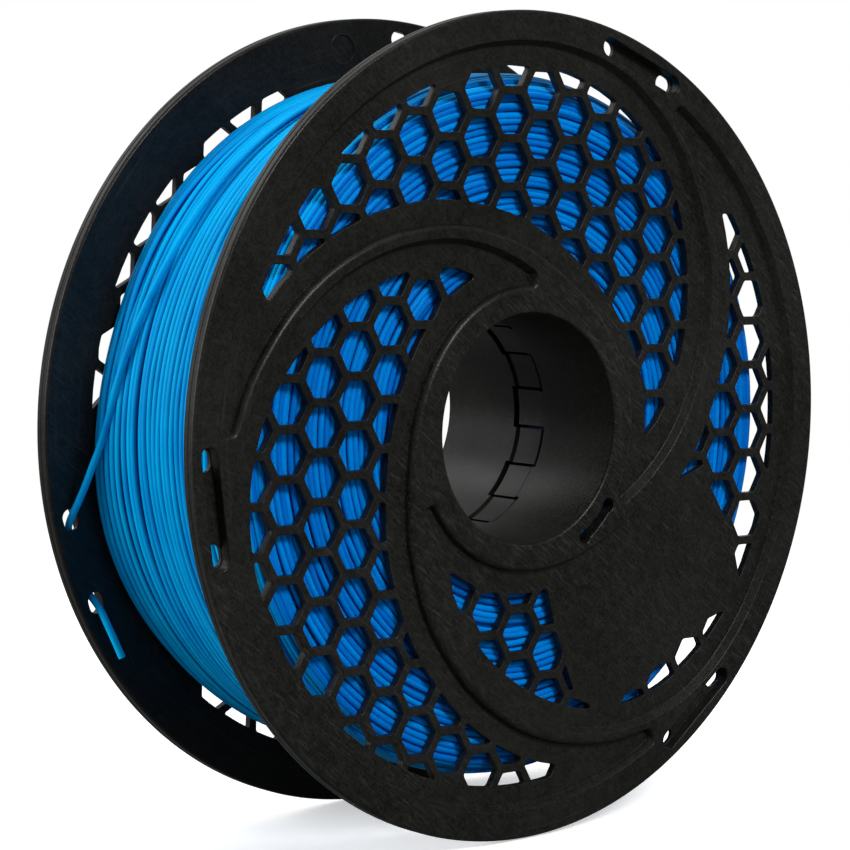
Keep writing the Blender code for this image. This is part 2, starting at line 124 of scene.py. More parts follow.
# ------------------------------------------------------------ small geometry
def stations(table, a):
    """Smooth curve through (angle, radius) stations."""
    n = len(table)
    if a <= table[0][0]:
        return table[0][1]
    if a >= table[-1][0]:
        return table[-1][1]
    i = max(k for k in range(n - 1) if table[k][0] <= a)

    def slope(k):
        lo, hi = max(k - 1, 0), min(k + 1, n - 1)
        return (table[hi][1] - table[lo][1]) / (table[hi][0] - table[lo][0])

    a0, r0 = table[i]
    a1, r1 = table[i + 1]
    h = a1 - a0
    t = (a - a0) / h
    m0, m1 = slope(i) * h, slope(i + 1) * h
    return ((2 * t ** 3 - 3 * t ** 2 + 1) * r0 + (t ** 3 - 2 * t ** 2 + t) * m0
            + (-2 * t ** 3 + 3 * t ** 2) * r1 + (t ** 3 - t ** 2) * m1)


def polar(r, a):
    return (r * math.cos(math.radians(a)), r * math.sin(math.radians(a)))


def at(p, w):
    return Vector((p[0] * MM, (w - SPOOL_WIDTH / 2) * MM, p[1] * MM))


def area(poly):
    return 0.5 * sum(poly[i - 1][0] * poly[i][1] - poly[i][0] * poly[i - 1][1]
                     for i in range(len(poly)))


def clip(poly, point, normal):
    out = []
    for i in range(len(poly)):
        p, q = poly[i - 1], poly[i]
        dp = (p[0] - point[0]) * normal[0] + (p[1] - point[1]) * normal[1]
        dq = (q[0] - point[0]) * normal[0] + (q[1] - point[1]) * normal[1]
        if (dp <= 0) != (dq <= 0):
            t = dp / (dp - dq)
            out.append((p[0] + t * (q[0] - p[0]), p[1] + t * (q[1] - p[1])))
        if dq <= 0:
            out.append(q)
    return out


def tidy(poly, shortest=0.35):
    out = []
    for p in poly:
        if not out or math.dist(p, out[-1]) > shortest:
            out.append(p)
    while len(out) > 2 and math.dist(out[0], out[-1]) <= shortest:
        out.pop()
    return out


def inside(poly, p):
    hit = False
    for i in range(len(poly)):
        (x0, z0), (x1, z1) = poly[i - 1], poly[i]
        if (z0 > p[1]) != (z1 > p[1]) and p[0] < x0 + (p[1] - z0) / (z1 - z0) * (x1 - x0):
            hit = not hit
    return hit


def rounded(poly, radius, steps=4):
    """Polygon with each clear corner replaced by an arc."""
    out = []
    n = len(poly)
    for i in range(n):
        p, q, r = poly[i - 1], poly[i], poly[(i + 1) % n]
        a = Vector((q[0] - p[0], q[1] - p[1]))
        b = Vector((r[0] - q[0], r[1] - q[1]))
        la, lb = a.length, b.length
        a /= la
        b /= lb
        turn = math.atan2(a.x * b.y - a.y * b.x, a.dot(b))
        if abs(turn) < math.radians(14):
            out.append(q)
            continue
        sharp = min(1.0, max(0.16, ((180.0 - abs(math.degrees(turn))) / 112.0) ** 1.8))
        t = min(radius * sharp * math.tan(abs(turn) / 2), 0.42 * la, 0.42 * lb)
        rad = t / math.tan(abs(turn) / 2)
        s = 1.0 if turn > 0 else -1.0
        start = Vector(q) - a * t
        c = start + Vector((-a.y, a.x)) * rad * s
        for k in range(steps + 1):
            ang = turn * k / steps
            d = start - c
            out.append((c.x + d.x * math.cos(ang) - d.y * math.sin(ang),
                        c.y + d.x * math.sin(ang) + d.y * math.cos(ang)))
    return out


def normals_away(poly):
    """Unit normals in the plane, pointing away from the polygon's inside."""
    s = 1.0 if area(poly) > 0 else -1.0
    out = []
    n = len(poly)
    for i in range(n):
        p, q, r = poly[i - 1], poly[i], poly[(i + 1) % n]
        a = Vector((q[0] - p[0], q[1] - p[1])).normalized()
        b = Vector((r[0] - q[0], r[1] - q[1])).normalized()
        d = (a + b)
        if d.length < 1e-6:
            d = a
        d.normalize()
        k = min(1.0 / max(0.5, d.dot(a)), 1.6)
        out.append((s * d.y * k, -s * d.x * k))
    return out


def fillets(points, radii, steps=3):
    """Rounded (offset, depth) profile with its surface normals."""
    out = []
    for i in range(1, len(points) - 1):
        p0, p1, p2 = (Vector(p) for p in points[i - 1:i + 2])
        d0, d1 = (p1 - p0).normalized(), (p2 - p1).normalized()
        turn = math.atan2(d0.x * d1.y - d0.y * d1.x, d0.dot(d1))
        r = radii[i - 1]
        s = 1.0 if turn > 0 else -1.0
        start = p1 - d0 * (r * math.tan(abs(turn) / 2))
        c = start + Vector((-d0.y, d0.x)) * r * s
        for k in range(steps + 1):
            ang = turn * k / steps
            ca, sa = math.cos(ang), math.sin(ang)
            v = start - c
            d = Vector((d0.x * ca - d0.y * sa, d0.x * sa + d0.y * ca))
            out.append((c.x + v.x * ca - v.y * sa, c.y + v.x * sa + v.y * ca,
                        -d.y, d.x))
    return out


# -------------------------------------------------------------- the openings
def outer_limit(a):
    return stations(WINDOW_OUTER, a)


def inner_limit(a):
    return stations(WINDOW_INNER, a)


def trim(poly, limit, keep, head, middle):
    def angle(p):
        a = math.degrees(math.atan2(p[1], p[0])) - head
        return middle + (a - middle + 180.0) % 360.0 - 180.0

    def over(p):
        return keep * (math.hypot(*p) - limit(angle(p)))

    def crossing(p, q):
        for _ in range(30):
            m = ((p[0] + q[0]) / 2, (p[1] + q[1]) / 2)
            p, q = (m, q) if (over(m) > 0) == (over(p) > 0) else (p, m)
        return p

    out = []
    for i in range(len(poly)):
        p, q = poly[i - 1], poly[i]
        if over(p) <= 0 < over(q):
            start = crossing(p, q)
            out.append(start)
            k = i
            while over(poly[(k + 1) % len(poly)]) > 0:
                k += 1
            end = crossing(poly[k % len(poly)], poly[(k + 1) % len(poly)])
            if math.dist(start, end) > 3.0:
                a = (angle(start) + angle(end)) / 2
                out.append(polar(limit(a), head + a))
            out.append(end)
        elif over(q) <= 0:
            out.append(q)
    return out


def outside_plain_area(poly, cx, cz):
    deep = inside(PLAIN_EDGE, (cx, cz))
    near, best = None, 1e9
    for p, q in zip(PLAIN_EDGE, PLAIN_EDGE[1:]):
        dx, dz = q[0] - p[0], q[1] - p[1]
        t = ((cx - p[0]) * dx + (cz - p[1]) * dz) / (dx * dx + dz * dz)
        t = min(1.0, max(0.0, t))
        x, z = p[0] + t * dx, p[1] + t * dz
        if math.dist((x, z), (cx, cz)) < best:
            best, near = math.dist((x, z), (cx, cz)), (x, z)
    if best > HEX_FLATS * 0.58:
        return [] if deep else poly
    n = (near[0] - cx, near[1] - cz)
    if deep:
        n = (-n[0], -n[1])
    return clip(poly, near, n)


def windows():
    found = []
    r = HEX_FLATS / math.sqrt(3)
    t = math.radians(HEX_TURN)
    ax, az = (HEX_PITCH * math.cos(t + math.radians(30)),
              HEX_PITCH * math.sin(t + math.radians(30)))
    bx, bz = (HEX_PITCH * math.cos(t + math.radians(90)),
              HEX_PITCH * math.sin(t + math.radians(90)))
    for number, head in enumerate(PANEL_HEADS):
        turn = math.radians(120.0 * number)
        ox = HEX_ORIGIN[0] * math.cos(turn) - HEX_ORIGIN[1] * math.sin(turn)
        oz = HEX_ORIGIN[0] * math.sin(turn) + HEX_ORIGIN[1] * math.cos(turn)
        for i in range(-12, 13):
            for j in range(-14, 15):
                cx, cz = ox + i * ax + j * bx, oz + i * az + j * bz
                if not 34 < math.hypot(cx, cz) < 95:
                    continue
                middle = (math.degrees(math.atan2(cz, cx)) - head) % 360.0
                if not WINDOW_START - 12 < middle < 208:
                    continue
                poly = [(cx + r * math.cos(t + k * math.pi / 3),
                         cz + r * math.sin(t + k * math.pi / 3)) for k in range(6)]
                poly = trim(poly, outer_limit, 1, head, middle)
                poly = trim(poly, inner_limit, -1, head, middle)
                if len(poly) < 3:
                    continue
                if number == 2:
                    poly = outside_plain_area(poly, cx, cz)
                poly = tidy(poly, 0.6)
                if len(poly) < 3 or abs(area(poly)) < WINDOW_MIN_AREA:
                    continue
                found.append((number, rounded(poly, 1.0)))
    return found


def obround(p, q, width, steps=10):
    d = Vector((q[0] - p[0], q[1] - p[1]))
    a0 = math.atan2(d.y, d.x)
    r = width / 2
    out = []
    for k in range(steps + 1):
        t = a0 - math.pi / 2 + math.pi * k / steps
        out.append((q[0] + r * math.cos(t), q[1] + r * math.sin(t)))
    for k in range(steps + 1):
        t = a0 + math.pi / 2 + math.pi * k / steps
        out.append((p[0] + r * math.cos(t), p[1] + r * math.sin(t)))
    return out


def panel_outline(head):
    """Floor outline of a panel and how far each point's wall leans out."""
    pts, lean = [], []
    cap0, cap1 = 1.6, 0.85                       # rounded ends, in degrees
    a0, a1 = 1.2, PANEL_TAIL

    def put(r, a, l):
        pts.append(polar(r, head + a))
        lean.append(l)

    def ease(t):
        return t * t * (3 - 2 * t)

    n = 250
    for i in range(n + 1):
        a = a0 + cap0 + (a1 - cap1 - a0 - cap0) * i / n
        put(stations(PANEL_OUTER, a), a, PANEL_SLOPE)
    for k in range(1, 12):
        f = math.pi * k / 12
        c, s = math.cos(f), math.sin(f)
        c = math.copysign(abs(c) ** 0.6, c)
        ro, ri = stations(PANEL_OUTER, a1), stations(PANEL_INNER, a1)
        put((ro + ri) / 2 + c * (ro - ri) / 2, a1 - cap1 + cap1 * s ** 0.6,
            PANEL_SLOPE + (0.35 - PANEL_SLOPE) * ease(k / 12))
    n = 190
    for i in range(n + 1):
        a = a1 - cap1 + (a0 + cap0 - a1 + cap1) * i / n
        put(stations(PANEL_INNER, a), a, 0.35)
    for k in range(1, 12):
        f = math.pi * k / 12
        c, s = math.cos(f), math.sin(f)
        c = math.copysign(abs(c) ** 0.7, c)
        ro, ri = stations(PANEL_OUTER, a0 + cap0), stations(PANEL_INNER, a0 + cap0)
        put((ro + ri) / 2 - c * (ro - ri) / 2, a0 + cap0 - cap0 * s ** 0.7,
            0.35 + (PANEL_SLOPE - 0.35) * ease(k / 12))
    return pts, lean


def slot_outline():
    lo, hi = SLOT_ANGLES
    r = SLOT_END_D / 2
    half = math.asin(SLOT_WIDTH / SLOT_END_D)
    reach = math.degrees(r * math.cos(half) / SLOT_R)
    flank = [lo + reach + (hi - lo - 2 * reach) * i / 8 for i in range(1, 8)]
    swing = [(math.pi - half) * (1 - 2 * i / 16) for i in range(17)]

    def end(angle, way, turns):
        cx, cz = polar(SLOT_R, angle)
        ux, uz = polar(1.0, angle)
        tx, tz = -way * uz, way * ux
        return [(cx + r * (math.cos(f) * tx + math.sin(f) * ux),
                 cz + r * (math.cos(f) * tz + math.sin(f) * uz)) for f in turns]

    return ([polar(SLOT_R + SLOT_WIDTH / 2, a) for a in flank]
            + end(hi, 1, swing)
            + [polar(SLOT_R - SLOT_WIDTH / 2, a) for a in reversed(flank)]
            + end(lo, -1, list(reversed(swing))))


# ------------------------------------------------------------- mesh building
class Shell:
    """Closed surface of flat regions and rounded walls, with exact normals."""

    def __init__(self):
        self.co, self.faces, self.nors = [], [], []

    def ring(self, points, w):
        start = len(self.co)
        self.co += [tuple(at(p, w)) for p in points]
        return list(range(start, start + len(points)))

    def face(self, ids, nors):
        pts = [Vector(self.co[i]) for i in ids]
        n = Vector((0, 0, 0))
        for i in range(1, len(pts) - 1):
            n += (pts[i] - pts[0]).cross(pts[i + 1] - pts[0])
        m = Vector((0, 0, 0))
        for v in nors:
            m += Vector(v)
        if n.dot(m) < 0:
            ids, nors = ids[::-1], nors[::-1]
        self.faces.append(ids)
        self.nors.append(nors)

    def strip(self, a, na, b, nb, closed=True):
        n = len(a)
        for i in range(n if closed else n - 1):
            j = (i + 1) % n
            self.face([a[i], a[j], b[j], b[i]], [na[i], na[j], nb[j], nb[i]])

    def walls(self, points, away, profiles):
        """Sweep each point's own (offset, depth, normal) profile; returns the
        first and last ring."""
        steps = len(profiles[0])
        rings = []
        for k in range(steps):
            start = len(self.co)
            nors = []
            for p, m, prof in zip(points, away, profiles):
                o, w, no, nw = prof[k]
                self.co.append(tuple(at((p[0] + m[0] * o, p[1] + m[1] * o), w)))
                u = Vector((m[0], 0, m[1])).normalized()
                nors.append((u.x * no, nw, u.z * no))
            rings.append((list(range(start, start + len(points))), nors))
        for (a, na), (b, nb) in zip(rings, rings[1:]):
            self.strip(a, na, b, nb)
        return rings[0][0], rings[-1][0]

    def fill(self, rings, nw):
        ids = [i for ring in rings for i in ring]
        flat = [Vector((self.co[i][0] / MM, self.co[i][2] / MM)) for i in ids]
        edges, start = [], 0
        for ring in rings:
            n = len(ring)
            edges += [(start + i, start + (i + 1) % n) for i in range(n)]
            start += n
        out = delaunay_2d_cdt(flat, edges, [], 0, 1e-7)
        tris = np.array([[out[3][i][0] for i in t] for t in out[2]])
        P = np.array([(p.x, p.y) for p in flat])
        C = P[tris].mean(1)
        hits = np.zeros(len(C), int)
        for i, j in edges:
            (x0, z0), (x1, z1) = P[i], P[j]
            if z0 == z1:
                continue
            m = (z0 > C[:, 1]) != (z1 > C[:, 1])
            hits += m & (C[:, 0] < x0 + (C[:, 1] - z0) / (z1 - z0) * (x1 - x0))
        n = (0.0, nw, 0.0)
        for t in tris[hits % 2 == 1]:
            self.face([ids[i] for i in t], [n, n, n])

    def mesh(self, name):
        me = bpy.data.meshes.new(name)
        me.from_pydata(self.co, [], self.faces)
        me.polygons.foreach_set("use_smooth", [True] * len(me.polygons))
        me.update()
        me.normals_split_custom_set([Vector(n).normalized()
                                     for nn in self.nors for n in nn])
        return me


def hole(shell, poly, w0, w1, r0, r1, steps=2):
    """Through hole between two planes with rounded edges."""
    prof = fillets([(3, w0), (0, w0), (0, w1), (3, w1)], [r0, r1], steps)
    return shell.walls(poly, normals_away(poly), [prof] * len(poly))


def half_mesh():
    s = Shell()
    front, floor_rings, back = [], {0: [], 1: [], 2: []}, []

    # rim: rounded edges and a shallow parting groove
    n = 360
    rim = [polar(FLANGE_R, 360.0 * i / n) for i in range(n)]
    into = [(-p[0] / FLANGE_R, -p[1] / FLANGE_R) for p in rim]
    prof = fillets([(6, 0), (0, 0), (0, 1.75), (0.16, 2.0), (0, 2.25),
                    (0, FLANGE_T), (6, FLANGE_T)],
                   [RIM_ROUND, 0.05, 0.05, 0.05, RIM_ROUND], 4)
    a, b = s.walls(rim, into, [prof] * n)
    front.append(a)
    back.append(b)

    # panels
    for number, head in enumerate(PANEL_HEADS):
        pts, lean = panel_outline(head)
        profs = [fillets([(l + 4, 0), (l, 0), (0, PANEL_DEPTH), (-4, PANEL_DEPTH)],
                         [0.30 + 1.15 * (PANEL_SLOPE - l) / 0.95,
                          0.05 + 0.25 * max(0.0, l - 0.35)], 5) for l in lean]
        a, b = s.walls(pts, normals_away(pts), profs)
        front.append(a)
        floor_rings[number].append(b)
    for number, poly in windows():
        a, b = hole(s, poly, PANEL_DEPTH, FLANGE_T, 0.22, 0.18)
        floor_rings[number].append(a)
        back.append(b)
    for number in range(3):
        s.fill(floor_rings[number], -1.0)

    # parking holes in their recesses
    for k in range(3):
        p, q = (polar(PARK_R, ang + 120 * k) for ang in PARK_ANGLES)
        d = Vector((q[0] - p[0], q[1] - p[1])).normalized()
        h = (PARK_LENGTH - PARK_WIDTH) / 2
        recess = obround((p[0] - (h + .2) * d.x, p[1] - (h + .2) * d.y),
                         (q[0] + (h + .2) * d.x, q[1] + (h + .2) * d.y),
                         PARK_WIDTH + 0.3)
        prof = fillets([(3, 0), (0, 0), (-0.1, PARK_RECESS), (-3, PARK_RECESS)],
                       [0.35, 0.05], 3)
        a, b = s.walls(recess, normals_away(recess), [prof] * len(recess))
        front.append(a)
        rings = [b]
        for c in (p, q):
            poly = obround((c[0] - h * d.x, c[1] - h * d.y),
                           (c[0] + h * d.x, c[1] + h * d.y), PARK_WIDTH - 0.3)
            a, b = hole(s, poly, PARK_RECESS, FLANGE_T, 0.1, 0.3)
            rings.append(a)
            back.append(b)
        s.fill(rings, -1.0)

    slot = slot_outline()
    a, b = hole(s, slot, 0.0, FLANGE_T, 0.35, 0.1, 3)
    front.append(a)
    back.append(b)

    # ejector marks: shallow rings on the inner face
    for ang, r, rad in ((49.4, 92.6, 3.5), (289.4, 90.5, 3.5), (169.4, 91.5, 3.5)):
        c = polar(r, ang)
        m = 36
        circle = [(c[0] + rad * math.cos(2 * math.pi * i / m),
                   c[1] + rad * math.sin(2 * math.pi * i / m)) for i in range(m)]
        prof = fillets([(-2, FLANGE_T - 0.16), (0, FLANGE_T - 0.16), (0.12, FLANGE_T + 0.12),
                        (0.45, FLANGE_T + 0.12), (0.6, FLANGE_T), (3, FLANGE_T)],
                       [0.05, 0.08, 0.08, 0.05], 2)
        a, b = s.walls(circle, normals_away(circle), [prof] * m)
        s.fill([a], 1.0)
        back.append(b)

    # sleeve: bore wall, fingers and drum
    step = 360.0 / FINGERS
    half = step / 4 - FINGER_GAP
    nf, ng = 12, 12
    hub = []
    for k in range(FINGERS):
        mid = FINGER_CENTRE + step * k
        hub += [mid - half + 2 * half * i / nf for i in range(nf + 1)]
        gap = step - 2 * half
        hub += [mid + half + gap * i / ng for i in range(1, ng)]
    per = nf + ng
    unit = [polar(1.0, a) for a in hub]

    def around(r, w):
        return s.ring([polar(r, a) for a in hub], w)

    out_n = [(u[0], 0.0, u[1]) for u in unit]
    in_n = [(-u[0], 0.0, -u[1]) for u in unit]
    mouth = [polar(BORE_R, a) for a in hub]
    prof = fillets([(4, 0), (0, 0), (0, 3)], [0.8], 5)
    away = [(u[0], u[1]) for u in unit]
    a, bore0 = s.walls(mouth, away, [prof] * len(hub))
    front.append(a)
    # slight inner step near the joint, then the sleeve's end
    z1 = around(BORE_R, SLEEVE_END - 0.5)
    s.strip(bore0, in_n, z1, in_n)
    z2 = around(BORE_R + 0.12, SLEEVE_END)
    s.strip(z1, in_n, z2, in_n)
    drum = around(DRUM_R, FLANGE_T)
    back.append(drum)
    drum_end = around(DRUM_R, SLEEVE_END)
    s.strip(drum, out_n, drum_end, out_n)
    for k in range(FINGERS):
        i0 = per * k
        ids = [(i0 + i) % len(hub) for i in range(nf + 1)]
        angs = [hub[i] for i in ids]
        rad = [out_n[i] for i in ids]
        inn = [in_n[i] for i in ids]
        a_in, a_out = [z2[i] for i in ids], [drum_end[i] for i in ids]
        rr = BORE_R + FINGER_RELIEF

        def arc(r, w, shrink=0.0):
            return s.ring([polar(r, a + shrink * (1 - 2 * j / nf)) for j, a in enumerate(angs)], w)

        b0 = arc(BORE_R + 0.12, SLEEVE_END + 1.1)
        b1 = arc(rr, SLEEVE_END + 2.2)
        c1 = arc(rr, FINGER_TIP - 0.25)
        c2 = arc(rr + 0.25, FINGER_TIP)
        d2 = arc(DRUM_R - 0.25, FINGER_TIP)
        d1 = arc(DRUM_R, FINGER_TIP - 0.25)
        s.strip(a_in, inn, b0, inn, False)
        slope = [Vector((v[0], 0.5, v[2])).normalized() for v in inn]
        s.strip(b0, slope, b1, slope, False)
        s.strip(b1, inn, c1, inn, False)
        cham = [Vector((v[0], 1.0, v[2])).normalized() for v in inn]
        s.strip(c1, cham, c2, cham, False)
        tip = [(0, 1, 0)] * (nf + 1)
        s.strip(c2, tip, d2, tip, False)
        cham = [Vector((v[0], 1.0, v[2])).normalized() for v in rad]
        s.strip(d2, cham, d1, cham, False)
        s.strip(d1, rad, a_out, rad, False)
        for j, way in ((0, -1), (nf, 1)):
            t = math.radians(angs[j])
            nn = (-math.sin(t) * way, 0.0, math.cos(t) * way)
            loop = [a_in[j], b0[j], b1[j], c1[j], c2[j], d2[j], d1[j], a_out[j]]
            s.face(loop, [nn] * len(loop))
        ids = [(i0 + nf + i) % len(hub) for i in range(ng + 1)]
        up = (0, 1, 0)
        for i, j in zip(ids, ids[1:]):
            s.face([z2[i], z2[j], drum_end[j], drum_end[i]], [up] * 4)

    s.fill(front, -1.0)
    s.fill(back, 1.0)
    return s.mesh("spool_half_fine")


# ------------------------------------------------------------------ filament
def noise_row(rng, n, waves, amp):
    """Smooth periodic wander round the spool."""
    t = np.linspace(0, 2 * np.pi, n, endpoint=False)
    out = np.zeros(n)
    for k in waves:
        out += rng.normal(0, 1) * np.sin(k * t + rng.uniform(0, 6.28)) / (1 + 0.12 * k)
    return amp * out / math.sqrt(len(waves))


def tube(co, faces, pts, radius, sides, closed, phase=0.0):
    """Tube along points; the frame stays square to the spool axis."""
    P = np.asarray(pts, float)
    n = len(P)
    nxt = np.roll(P, -1, 0) - np.roll(P, 1, 0)
    if not closed:
        nxt[0], nxt[-1] = P[1] - P[0], P[-1] - P[-2]
    T = nxt / np.linalg.norm(nxt, axis=1)[:, None]
    Y = np.array([0.0, 1.0, 0.0])
    A = np.cross(T, Y)
    A /= np.linalg.norm(A, axis=1)[:, None]
    B = np.cross(T, A)
    start = len(co)
    ang = np.linspace(0, 2 * np.pi, sides, endpoint=False) + phase
    D = (np.cos(ang)[None, :, None] * A[:, None, :]
         + np.sin(ang)[None, :, None] * B[:, None, :])
    ring = P[:, None, :] + radius * D
    co.extend(map(tuple, ring.reshape(-1, 3)))
    for i in range(n if closed else n - 1):
        j = (i + 1) % n
        for k in range(sides):
            m = (k + 1) % sides
            faces.append((start + i * sides + k, start + j * sides + k,
                          start + j * sides + m, start + i * sides + m))
    if not closed:
        faces.append(tuple(start + k for k in range(sides)))
        faces.append(tuple(start + (n - 1) * sides + k for k in reversed(range(sides))))
    return D.reshape(-1, 3), np.repeat(P, sides, 0)


def shoulder(w):
    """Outside radius of the winding at depth w."""
    w0 = FLANGE_T + 0.3
    table = ((w0, WIND_SHOULDER_R), (w0 + WIND_SHOULDER * 0.55, WIND_R - 1.2),
             (w0 + WIND_SHOULDER, WIND_R), (SPOOL_WIDTH, WIND_R))
    return stations(table, w)


def winding_mesh():
    rng = np.random.default_rng(SEED)
    co, faces, tone, painted_groove_shade = [], [], [], []
    r = FILAMENT_D / 2
    n = 240
    th = np.linspace(0, 2 * np.pi, n, endpoint=False)
    y0 = SPOOL_WIDTH / 2
    # each turn leans by one pitch, and eases back over the last 60 degrees
    u = th / (2 * np.pi)
    e = np.clip((u - 5 / 6) * 6, 0, 1)
    lean = np.where(u < 5 / 6, u * 1.2, 1 - e * e * (3 - 2 * e))

    def strand(t, R, w, sides=10, closed=True, side=0.0, shade=None, girth=1.0):
        """side 0: seen from outside, -1 or +1: seen from that end."""
        pts = np.stack([R * np.cos(t) * MM, (w - y0) * MM, R * np.sin(t) * MM], 1)
        D, P = tube(co, faces, pts, r * MM * girth, sides, closed)
        out = P.copy()
        out[:, 1] = 0.0
        out /= np.linalg.norm(out, axis=1)[:, None]
        flat = D[:, 1] * (-1.0 if P[:, 1].mean() < 0 else 1.0)
        # painted groove shade: how far each point of the tube faces outwards (for turns seen end-on,
        # towards the window); the material paints the rest dark as the shade between turns
        if side:
            painted_groove_shade.append(D[:, 1] * side)
        else:
            # turns beside a flange also show their flank, which is spared the painted groove shade
            near = np.clip((np.abs(P[:, 1]) / MM - (y0 - FLANGE_T - 11.0)) / 5.0, 0, 1)
            up = (D * out).sum(1)
            painted_groove_shade.append(np.maximum(up, flat * near))
        v = np.full(len(D), rng.uniform(0, 1) if shade is None else shade)
        # turns seen end-on through the windows, and the flanks of turns beside a flange, are marked
        # for the deeper blue painted-shade copy of the colour
        if side:
            v = v - 1.0
        else:
            v[(near > 0.2) & (flat > up)] -= 1.0
        tone.append(v)

    def bump(t, middle, width):
        d = (np.degrees(t) - middle + 180.0) % 360.0 - 180.0
        return np.exp(-(d / width) ** 2)

    lo, hi = FLANGE_T + 0.3 + r, SPOOL_WIDTH - FLANGE_T - 0.3 - r

    def drift(turns, amp):
        """Sideways wander that neighbouring turns mostly share."""
        i = np.arange(turns)[:, None] / turns
        out = np.zeros((turns, n))
        for m in range(1, 12):
            for _ in range(2):
                k = rng.integers(1, 5)
                out += (rng.normal() * np.sin(k * th[None, :] + rng.uniform(0, 6.28)
                                              + rng.normal() * 2 * i)
                        * np.sin(m * np.pi * i + rng.uniform(0, 6.28)) / m ** 0.75)
        return amp * out / math.sqrt(11)

    # the outermost layer, and the ones below it in the grooves
    for layer in range(3):
        turns = 29
        pitch = (hi - lo) / (turns - 1)
        field = drift(turns, 0.42 if layer == 0 else 0.3)
        for i in range(turns):
            w = lo + pitch * (i + 0.5 * (layer % 2)) + field[i] + noise_row(rng, n, (1, 2, 3, 4), 0.10)
            w = w + pitch * (lean - 0.5)
            k = max(0.0, (i - (turns - 9)) / 8.0)
            if layer == 0 and k:
                # the last turns sit loosely and stand off on one side
                w = w - 0.5 * k * bump(th, 165.0, 30.0)
            w = np.clip(w, lo, hi)
            R = np.array([shoulder(v) for v in w]) - r - 1.35 * layer
            R = R - 0.7 * np.abs(noise_row(rng, n, (1, 2, 3, 5), 0.50)) - rng.uniform(0.0, 0.5)
            if layer == 0 and k:
                R = R + (0.1 + 2.9 * k) * bump(th, 194.0, 25.0)
            strand(th, R, w)
    # the slope beside the front flange takes extra turns
    for i in range(4):
        w = lo + pitch * (i + lean) + noise_row(rng, n, (1, 2, 3, 4), 0.12)
        w = np.clip(w, lo, hi)
        strand(th, np.array([shoulder(v) for v in w]) - r - 0.1 - rng.uniform(0.0, 0.3), w)
    # stray turns lying across the others
    for w_a, w_b, mid, lift in ((48.5, 55.0, 145.0, 2.5), (56.5, 51.0, 214.0, 2.2),
                                (12.0, 15.5, 215.0, 1.7), (31.0, 27.0, 128.0, 1.9),
                                (22.0, 25.5, 310.0, 1.7), (40.0, 44.5, 20.0, 1.7)):
        d = (np.degrees(th) - mid + 180.0) % 360.0 - 180.0
        w = w_a + (w_b - w_a) * 0.5 * (1 + np.tanh(d / 42.0)) * (1 - bump(th, mid + 180.0, 40.0))
        w = w + noise_row(rng, n, (2, 3, 4), 0.2)
        R = np.array([shoulder(v) for v in w]) - r - 1.3 + lift * bump(th, mid, 30.0)
        strand(th, R, np.clip(w, lo, hi))
    # the last turn, which runs into the loose end
    tt = np.radians(np.append(np.linspace(LEAD_ANGLES[0] - 250.0, LEAD_ANGLES[0], 180),
                              LEAD_ANGLES[0] + np.array((0.25, 1.0))))
    run = LEAD_ANGLES[0] - np.degrees(tt)
    grade = (LEAD_DEPTHS[1] - LEAD_DEPTHS[0]) / (LEAD_ANGLES[1] - LEAD_ANGLES[0])
    w = LEAD_DEPTHS[0] - grade * 12.0 * (1 - np.exp(-run / 12.0))
    R = LEAD_R - 2.3 * (1 - np.exp(-(run / 55.0) ** 2))
    strand(tt, R, w, closed=False, shade=0.5,
           girth=np.where(run < -0.1, 0.85, 1.0)[:, None, None])
    # the painted groove shade fades out over the last 40 degrees so the turn joins the cord, which has
    # none
    ease = np.clip(run / 40.0, 0, 1)
    painted_groove_shade[-1] = 1 + (painted_groove_shade[-1] - 1) * np.repeat(ease, 10)
    # the ends of the layers, seen through the windows of both flanges, coloured with the deeper blue
    # painted-shade copy and the painted groove shade
    for side in (0, 1):
        base, way = (lo, 1.0) if side == 0 else (hi, -1.0)
        top = 78.9 if side == 0 else 82.8
        R0 = DRUM_R + 0.5 + r
        j = 0
        while R0 + 1.7 * j < top:
            R = (R0 + 1.7 * (j + lean) + noise_row(rng, n, (1, 2, 3), 0.30)
                 + noise_row(rng, n, (4, 6, 8, 11), 0.24))
            depth = 0.9 * np.abs(noise_row(rng, n, (2, 3, 5, 8, 12), 0.60)) + rng.uniform(0, 0.35)
            strand(th, np.clip(R, R0, top + 0.6), base + way * depth, side=-way)
            j += 1
        j = 0
        while R0 + 1.7 * (j + 0.5) < top - 1:
            R = R0 + 1.7 * (j + 0.5 + lean) + noise_row(rng, n, (1, 2, 3, 5), 0.3)
            strand(th, np.clip(R, R0, top),
                   base + way * (1.3 + np.abs(noise_row(rng, n, (2, 5), 0.2))), 8, side=-way)
            j += 1
    me = bpy.data.meshes.new("winding_strands")
    me.from_pydata(co, [], faces)
    me.polygons.foreach_set("use_smooth", [len(f) == 4 for f in faces])
    for label, values in (("strand", tone), ("painted_groove_shade", painted_groove_shade)):
        data = me.attributes.new(label, 'FLOAT', 'POINT')
        data.data.foreach_set("value", np.concatenate(values).astype(np.float32))
    return me


